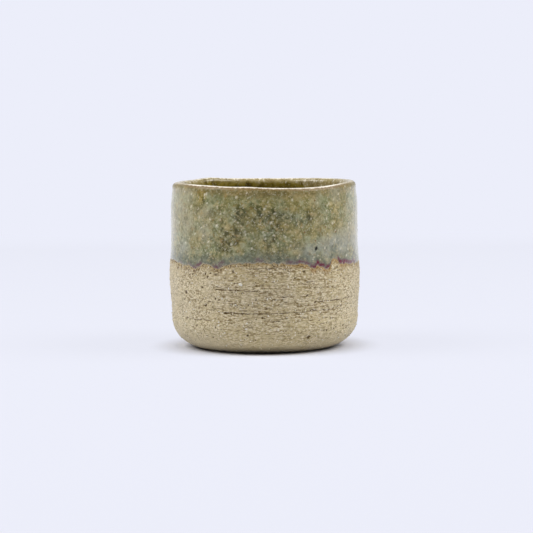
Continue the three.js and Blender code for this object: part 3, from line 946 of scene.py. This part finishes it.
def dipped_paint():
    """Broad colours first, then mottling from coarse to fine, then specks, flashes and the worn lip, with a
    painted highlight on its crown.
    """
    tree = Paint("dipped glaze", 0.16)
    place = tree.place()
    _, y, z = tree.parts(place)
    above = tree.kept("above_line")
    up = tree.kept("up")
    broad = tree.noise(place, CLOUDS, 1, 2)
    mottle = tree.noise(place, MOTTLES, 2, 3, 0.55)
    blots = tree.noise(place, BLOTS, 7, 2, 0.55)
    freckle = tree.noise(place, FRECKLES, 3, 2, 0.6)
    fine = tree.noise(place, SPECKLE, 4, 1, 0.5)
    shifted = (mottle - 0.5) * 1.6

    tree.colour = tree.blend(tree.ease(broad, 0.38, 0.62), KHAKI, GREY_GREEN)
    brown = tree.ease(up + shifted * 2, CLAY_HEIGHT - 4.0, CLAY_HEIGHT - 1.4)
    tree.lay(brown * 0.75, BROWN_OLIVE)
    ochre = tree.ease(tree.kept("ochre") + shifted, 0.2, 0.95)
    tree.lay(ochre * 0.75, OCHRE)
    grey = tree.ease(tree.kept("grey") + shifted * 0.25, 0.05, 0.85)
    pale = tree.blend(tree.ease(above + shifted * 3, 12.0, 5.0), PALE_KHAKI, ASH)
    tree.lay(grey * 0.85, pale)
    low = tree.ease(above + shifted * 2.0, 5.4, 1.6)
    tree.lay(low * 0.85, SLATE)
    flow = tree.ease(tree.math("ABSOLUTE", above + shifted - 4.3), 0.8, 0.2)
    tree.lay(flow * tree.ease(broad, 0.46, 0.56) * 0.4, POND)

    calm = (1 - grey * 0.4) * (1 - low * 0.35)
    calm = calm * tree.ease(up, CLAY_HEIGHT - 2.5, CLAY_HEIGHT - 7.0, 0.8, 1.0)
    cool = tree.noise(place, DARK_CLOUDS, 8) + tree.ease(z, 43, 50, -0.16, 0.03)
    dark = tree.blend(tree.ease(cool, 0.42, 0.58), MOSS, POND)
    light = tree.blend(tree.ease(tree.noise(place, LIGHT_CLOUDS, 9), 0.42, 0.58), SAND, LICHEN)
    moss = tree.ease(tree.kept("moss") - shifted * 0.6, 0.1, 0.8)
    amber = tree.noise(place, AMBER_BLOTS, 10, 2, 0.6)
    tree.lay(moss * calm * 0.34, dark)
    for pattern, start, end, share, colour in (
        (mottle, 0.56, 0.34, moss * 0.1 + 0.4, dark),
        (mottle, 0.52, 0.7, 0.4, light),
        (blots, 0.54, 0.38, moss * 0.5 + 0.2, dark),
        (freckle, 0.5, 0.38, moss * 0.4 + 0.4, dark),
        (blots, 0.52, 0.68, 0.4, light),
        (freckle, 0.53, 0.64, 0.6 - moss * 0.1, light),
        (amber, 0.58, 0.7, 0.45, AMBER),
        (fine, 0.6, 0.76, 0.5, CREAM),
    ):
        tree.lay(tree.ease(pattern, start, end) * share * calm, colour)
    specks = tree.kept("grog") * tree.ease(above, 1.0, 3.0)
    tree.lay(tree.math("MINIMUM", specks, 0.85), CREAM)
    rust = tree.dots(place, RUST_CELLS, 5, 0.22, 0.14)
    tree.lay(rust * 0.8, RUST)
    blotch = tree.noise(place, FLASH_BLOTS, 6, 2, 0.6)
    flash = tree.kept("flash") * tree.ease(blotch, 0.34, 0.64, 0.55, 1.2)
    tree.lay(tree.ease(flash, 0.0, 0.8) * 0.7, MAUVE)
    tree.lay(tree.ease(flash, 0.3, 1.3), WINE)
    thin = tree.ease(above + (blotch - 0.5) * 0.9, 0.6, 0.1)
    tree.lay(thin * 0.7, THIN_EDGE)
    fore_and_aft = tree.ease(y * y, 120, 420)
    lip = tree.ease(up + shifted * 0.6, CLAY_HEIGHT - 1.0, CLAY_HEIGHT - 0.2)
    tree.lay(lip * (fore_and_aft * 0.5 + 0.2), LIP_BROWN)
    crown = tree.ease(up + (freckle - 0.5) * 0.8, CLAY_HEIGHT - 0.1, CLAY_HEIGHT + 0.2)
    tree.lay(crown * 0.6, THIN_EDGE)
    # The crown's cream is partly worn glaze and partly a painted highlight: it is laid strongest at the
    # front and back, and whitest at the front.
    crown = crown * tree.ease(mottle, 0.34, 0.56, 0.75, 1.0) * (fore_and_aft * 0.8 + 0.1)
    crown = crown * tree.ease(y, -4, 4, 1.0, 0.7)
    tree.lay(crown, LIP_CREAM)
    # Painted shade: the pinhole's core is laid nearly black.
    hole = tree.math("MINIMUM", tree.kept("hole") * 2, 1)
    tree.lay(hole, PINHOLE_SHADE)
    tree.feed("Base Color", tree.colour)
    worn = tree.math("MAXIMUM", tree.ease(up, CLAY_HEIGHT - 2.0, CLAY_HEIGHT - 0.4, 0.0, 0.8), hole)
    rough = tree.ease(mottle, 0.3, 0.7, 0.14, 0.24) + worn * 0.3
    tree.feed("Roughness", rough)
    tree.feed("Coat Weight", 1 - worn)
    tree.fix("IOR", 1.34)
    tree.fix("Coat IOR", 1.34)
    tree.fix("Coat Roughness", 0.16)
    tree.bump(freckle, 0.04)
    return tree.material


# The poured liner

LINER_OLIVE = srgb(158, 140, 56)
LINER_DARK = srgb(90, 75, 26)
LINER_TAN = srgb(168, 153, 110)


def liner_shape(section, material):
    """The liner, with throwing rings below a rippled lip."""
    shape = Shape("poured liner")
    turn_on_wheel(shape, section)
    ring_size = shape.size("Throwing rings", 0.16)
    ring_pitch = shape.size("Ring pitch", 4.6)
    ripple_size = shape.size("Ripple", 0.14)
    place = shape.place()
    z = shape.parts(place)[2]
    inside = shape.ease(z, CLAY_HEIGHT - 1.0, CLAY_HEIGHT - 5.0)
    rings = shape.math("SINE", (z / ring_pitch) * (2 * math.pi) + shape.named("turn"))
    ripple = (shape.noise(place, LINER_RIPPLES, 21, 2) - 0.5) * ripple_size
    near_lip = shape.ease(z, CLAY_HEIGHT - 0.2, CLAY_HEIGHT - 1.4)
    shape.raise_by(inside * rings * ring_size * shape.ease(z, 8, 14) + near_lip * ripple)
    shape.finish(material)
    return shape


def liner_paint():
    """Olive glaze, darker down the bowl, mottled tan near the lip and worn pale on its crown, with painted
    highlights on the crown and near the lip.
    """
    tree = Paint("poured liner", 0.14)
    place = tree.place()
    x, y, _ = tree.parts(place)
    mottle = tree.noise(place, LINER_MOTTLES, 1, 3, 0.6)
    fine = tree.noise(place, LINER_SPECKLE, 2, 2, 0.6)
    up = tree.kept("up")
    streaks = tree.noise(tree.vector("MULTIPLY", place, (1.0, 1.0, 0.5)), LINER_STREAKS, 4, 2, 0.6)
    tree.colour = tree.blend(tree.ease(mottle, 0.26, 0.58), LINER_DARK, LINER_OLIVE)
    deep = tree.ease(up + (mottle - 0.5) * 2, CLAY_HEIGHT - 1.0, CLAY_HEIGHT - 3.4)
    tree.lay(deep * 0.5, LINER_DARK)
    pale_side = tree.ease(x, 8, 22) * 2.6
    high = tree.ease(up + (mottle - 0.5) * 4 + pale_side, CLAY_HEIGHT - 1.6, CLAY_HEIGHT - 0.2)
    tree.lay(high * 0.85, LINER_TAN)
    blots = tree.noise(place, LINER_BLOTS, 12, 2, 0.6)
    tree.lay(tree.ease(blots, 0.52, 0.36) * high * 0.8, BROWN_OLIVE)
    # Pale blots near the lip: partly pale glaze and partly painted glints.
    tree.lay(tree.ease(blots, 0.54, 0.68) * high * 0.55, LIP_CREAM)
    tree.lay(tree.ease(streaks, 0.5, 0.36) * 0.35, LINER_DARK)
    tree.lay(tree.ease(streaks, 0.55, 0.7) * 0.35, LINER_TAN)
    # Pale specks: partly specks in the glaze and partly painted glints.
    tree.lay(tree.ease(fine, 0.55, 0.8) * 0.4, CREAM)
    tree.lay(tree.dots(place, LINER_CELLS, 3, 0.3, 0.2) * 0.7, CREAM)
    # The crown's cream is partly worn glaze and partly a painted highlight, laid strongest at the front and
    # back.
    crown = tree.ease(up + (fine - 0.5) * 0.8, CLAY_HEIGHT - 0.1, CLAY_HEIGHT + 0.25)
    crown = crown * tree.ease(mottle, 0.34, 0.6, 0.3, 0.9) * tree.ease(y * y, 120, 420, 0.3, 1.0)
    crown = crown * tree.ease(y, -4, 4, 1.0, 0.9)
    tree.lay(crown, LIP_CREAM)
    tree.feed("Base Color", tree.colour)
    tree.fix("IOR", 1.38)
    tree.bump(tree.noise(place, LINER_DIMPLES, 6, 2, 0.5), 0.05)
    return tree.material


# Grains that stand out of the raw clay

GRAIN_LEAST = (1.0, 0.6, 0.45)  # the slimmest and the fullest grain, for a reach of 1
GRAIN_MOST = (1.3, 1.0, 0.7)
GRAIN_PROUD = 0.1
FULL_TURN = 6.283  # radians


def grain_shape(drawn, material):
    """Squeezed pebbles, strewn over the raw clay and set where the large ones are drawn."""
    shape = Shape("grog grains")
    density = shape.size("Grains per square millimetre", 0.45)
    smallest = shape.size("Smallest", 0.12)
    largest = shape.size("Largest", 0.38)
    seed = shape.entered("Seed", "NodeSocketInt", 5)
    chance = shape.named("raw") * (shape.named("coarse") * 0.7 + 0.3)
    strewn = shape.scattered(chance * density, seed, smallest, largest)
    points = shape.node("GeometryNodeJoinGeometry", {}, {"Geometry": strewn})
    large = shape.drawn("Large grains drawn", drawn)
    shape.data.links.new(large.socket, points.socket.node.inputs["Geometry"])
    pebble = shape.node("GeometryNodeMeshIcoSphere", {}, {"Radius": MM, "Subdivisions": 1})

    squeeze = shape.chance(GRAIN_LEAST, GRAIN_MOST, 12, "FLOAT_VECTOR")
    turned = shape.chance((0.0, 0.0, 0.0), (FULL_TURN, FULL_TURN, FULL_TURN), 13, "FLOAT_VECTOR")
    scale = shape.scaled(squeeze, shape.named("reach"))
    sockets = {"Points": points, "Instance": pebble, "Rotation": turned, "Scale": scale}
    shape.geometry = shape.node("GeometryNodeInstanceOnPoints", {}, sockets)
    shape.geometry = shape.stored(shape.geometry, "kind", shape.named("strength"), "INSTANCE")
    shape.finish(material)
    return shape


def grain_paint():
    """Buff to pale grains, and white ones of quartz."""
    tree = Paint("grog grain", 0.8)
    kind = tree.kept("kind")
    place = tree.place()
    tree.colour = tree.blend(tree.ease(kind, 0.5, 0.85), BUFF, PALE_BUFF)
    tree.lay(tree.math("GREATER_THAN", kind, 0.9), QUARTZ)
    tree.lay(tree.noise(place, GRAIN_SHADES, 9) * 0.25, SHADE_BUFF)
    tree.feed("Base Color", tree.colour)
    return tree.material


# The cup

ring = ring_drawing("ring", COLUMNS)
drags = lines_drawing("drags", DRAG_MARKS, DRAG_REACH, 0.0, lambda angle, height: height, DRAG_FADE)
pits = dots_drawing("pits", PITS, 0.0, 1.0)
clay_rows = clay_section()
clay_profile = section_drawing("clay section", clay_rows, False, [0.0] * len(clay_rows))
clay_tree = raw_clay_shape(clay_profile, drags, pits, raw_clay_paint())
kept = {"above_line", "raw", "coarse", "drag", "tear", "pit", "grog"}
raw_clay = made_piece("raw_clay", ring, clay_tree, kept)

flashes = lines_drawing(
    "flashes", FLASHES, FLASH_REACH, GLAZE, lambda angle, rise: DIP_HEIGHT + dip_at(angle) + rise, 0.0
)
ochre = dots_drawing("ochre", OCHRE_PATCHES, GLAZE)
moss = dots_drawing("moss", MOSS_PATCHES, GLAZE)
grey = dots_drawing("grey", GREY_PATCHES, GLAZE)
pinhole = dots_drawing("pinhole", PINHOLE, GLAZE, 1.0)
dip_rows = dipped_section()
lift_fade = [(BEAD_REACH, 0), (LIFT_REACH, 1)]
dip_lifts = [1 - smooth(lift_fade, height - DIP_HEIGHT) for _, height in dip_rows]
dip_profile = section_drawing("dip section", dip_rows, True, dip_lifts)
dip_tree = dipped_shape(dip_profile, flashes, ochre, moss, grey, pinhole, dipped_paint())
kept = {"above_line", "up", "grog", "flash", "ochre", "moss", "grey", "hole"}
dipped_glaze = made_piece("dipped_glaze", ring, dip_tree, kept)

liner_ring = ring_drawing("liner ring", LINER_COLUMNS)
liner_rows = liner_section()
liner_profile = section_drawing("liner section", liner_rows, False, [0.0] * len(liner_rows))
poured_liner = made_piece("poured_liner", liner_ring, liner_shape(liner_profile, liner_paint()), {"up"})

large_grains = dots_drawing("large grains", LARGE_GRAINS, GRAIN_PROUD, 1.0)
grog_grains = made_piece("grog_grains", raw_clay, grain_shape(large_grains, grain_paint()), {"kind"})
erase(ring, drags, pits, clay_profile, flashes, ochre, moss, grey, pinhole, dip_profile)
erase(liner_ring, liner_profile, large_grains)

for piece, node, slot in (
    (raw_clay, "clay_body", "raw_clay"),
    (dipped_glaze, "outer_glaze", "dipped_glaze"),
    (poured_liner, "liner_glaze", "liner_glaze"),
):
    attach(piece, "root")
    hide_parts(node)
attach(grog_grains, "root")

# Studio

CAMERA_PLACE = Vector((0.64, -851.0, 102.5)) * MM
CAMERA_PITCH = 5.08
CAMERA_ROLL = -0.4
CAMERA_LENS = 170.1
CAMERA_SENSOR = 36.0
CAMERA_CLIP = 0.01

# The floor is lit close round the cup, where its shadow lies, and shows the paper's own pale colour beyond
FLOOR_WHITE = srgb(214, 215, 224)
BACKDROP = srgb(236, 238, 250)
PAPER_IN_GLOSS = srgb(235, 236, 240)
BRIGHT_FROM = 26 * MM
BRIGHT_BY = 41 * MM
BRIGHT_SHARE = 0.86
BACK_FROM = 0.1
BACK_BY = 0.5

# The sweep, in metres
SWEEP_FROM = 0.9
SWEEP_RADIUS = 0.8
SWEEP_STEP = 5  # degrees
STAGE_HALF_WIDTH = 2.0
STAGE_FRONT = -2.2
STAGE_HEIGHT = 2.0

# The lamps, in metres and watts
LAMPS_AIM = Vector((0, 0, 0.03))
OVERHEAD_PLACE = (0.0, -0.35, 1.1)
OVERHEAD_SIZE = 0.8
OVERHEAD_WATTS = 2.6
SIDE_PLACES = {"left": (-0.8, -0.1, 0.82), "right": (0.8, -0.1, 0.82)}
SIDE_SIZE = 0.7
SIDE_WATTS = 10.2

# The light of the room, and the directions backwards and upwards between which it brightens
ROOM_WHITE = (1.0, 1.0, 1.0, 1.0)
ROOM_BACKWARDS = (-0.8, 0.2)
ROOM_UPWARDS = (0.0, 0.6)
ROOM_AROUND = 0.22
ROOM_BEHIND_CAMERA = 0.08
ROOM_LOW_SHARE = 0.2
ROOM_IN_GLOSS = 0.35


def studio_sweep():
    """The floor and the backdrop, in one sheet that curves up behind the cup."""
    outline = [(STAGE_FRONT, 0.0), (SWEEP_FROM, 0.0)]
    for degrees in range(SWEEP_STEP, 90 + SWEEP_STEP, SWEEP_STEP):
        angle = math.radians(degrees)
        outline.append((SWEEP_FROM + SWEEP_RADIUS * math.sin(angle), SWEEP_RADIUS * (1 - math.cos(angle))))
    outline.append((SWEEP_FROM + SWEEP_RADIUS, STAGE_HEIGHT))
    points = [(x, y, z) for x in (-STAGE_HALF_WIDTH, STAGE_HALF_WIDTH) for y, z in outline]
    count = len(outline)
    faces = [(k, count + k, count + k + 1, k + 1) for k in range(count - 1)]
    mesh = bpy.data.meshes.new("studio_sweep")
    mesh.from_pydata(points, [], faces)
    mesh.polygons.foreach_set("use_smooth", [True] * len(faces))
    sweep = bpy.data.objects.new("studio_sweep", mesh)
    bpy.context.scene.collection.objects.link(sweep)
    tree = Paint("studio paper", 0.9)
    tree.fix("Base Color", FLOOR_WHITE)
    tree.fix("Specular IOR Level", 0.1)
    camera_ray = tree.node("ShaderNodeLightPath", {}, {}, "Is Camera Ray")
    seen = tree.math("MINIMUM", camera_ray + camera_ray.beside("Is Glossy Ray"), 1)
    seen = tree.math("MINIMUM", seen + camera_ray.beside("Is Transmission Ray"), 1)
    x, y, _ = tree.parts(tree.node("ShaderNodeTexCoord", {}, {}, "Object"))
    aside = tree.ease(tree.math("SQRT", x * x + y * y), BRIGHT_FROM, BRIGHT_BY) * BRIGHT_SHARE
    far = tree.math("MAXIMUM", tree.ease(y, BACK_FROM, BACK_BY), aside)
    paper = tree.blend(camera_ray.beside("Is Glossy Ray"), BACKDROP, PAPER_IN_GLOSS)
    glow = tree.node("ShaderNodeEmission", {}, {"Color": paper, "Strength": 1.0})
    lit = Wire(tree, tree.shader.outputs[0])
    shown = tree.node("ShaderNodeMixShader", {}, {0: seen * far, 1: lit, 2: glow})
    tree.data.links.new(shown.socket, tree.data.nodes["Material Output"].inputs["Surface"])
    mesh.materials.append(tree.material)


def soft_light(name, place, size, watts):
    """A square soft box that faces the cup."""
    data = bpy.data.lights.new(name, "AREA")
    data.size = size
    data.energy = watts
    lamp = bpy.data.objects.new(name, data)
    lamp.location = place
    lamp.rotation_euler = (LAMPS_AIM - Vector(place)).to_track_quat("-Z", "Y").to_euler()
    bpy.context.scene.collection.objects.link(lamp)


studio_sweep()
soft_light("overhead", OVERHEAD_PLACE, OVERHEAD_SIZE, OVERHEAD_WATTS)
for side, place in SIDE_PLACES.items():
    soft_light(side, place, SIDE_SIZE, SIDE_WATTS)

world = bpy.data.worlds.new("room light")
bpy.context.scene.world = world
world.use_nodes = True
room = Tree(world.node_tree)
_, towards_back, upwards = room.parts(room.node("ShaderNodeTexCoord", {}, {}, "Generated"))
room_light = room.ease(towards_back, *ROOM_BACKWARDS, ROOM_BEHIND_CAMERA, ROOM_AROUND)
room_light = room_light * room.ease(upwards, *ROOM_UPWARDS, ROOM_LOW_SHARE, 1.0)
gloss = room.node("ShaderNodeLightPath", {}, {}, "Is Glossy Ray")
room_light = room.math("MAXIMUM", room_light, gloss * ROOM_IN_GLOSS)
background = world.node_tree.nodes["Background"]
background.inputs["Color"].default_value = ROOM_WHITE
world.node_tree.links.new(room_light.socket, background.inputs["Strength"])

lens = bpy.data.cameras.new("camera")
lens.lens = CAMERA_LENS
lens.sensor_width = CAMERA_SENSOR
lens.clip_start = CAMERA_CLIP
camera = bpy.data.objects.new("camera", lens)
camera.location = CAMERA_PLACE
tilted = Matrix.Rotation(math.radians(90 - CAMERA_PITCH), 3, "X")
rolled = Matrix.Rotation(math.radians(CAMERA_ROLL), 3, "Z")
camera.rotation_euler = (tilted @ rolled).to_euler()
bpy.context.scene.collection.objects.link(camera)
bpy.context.scene.camera = camera
bpy.context.scene.view_settings.view_transform = "Standard"
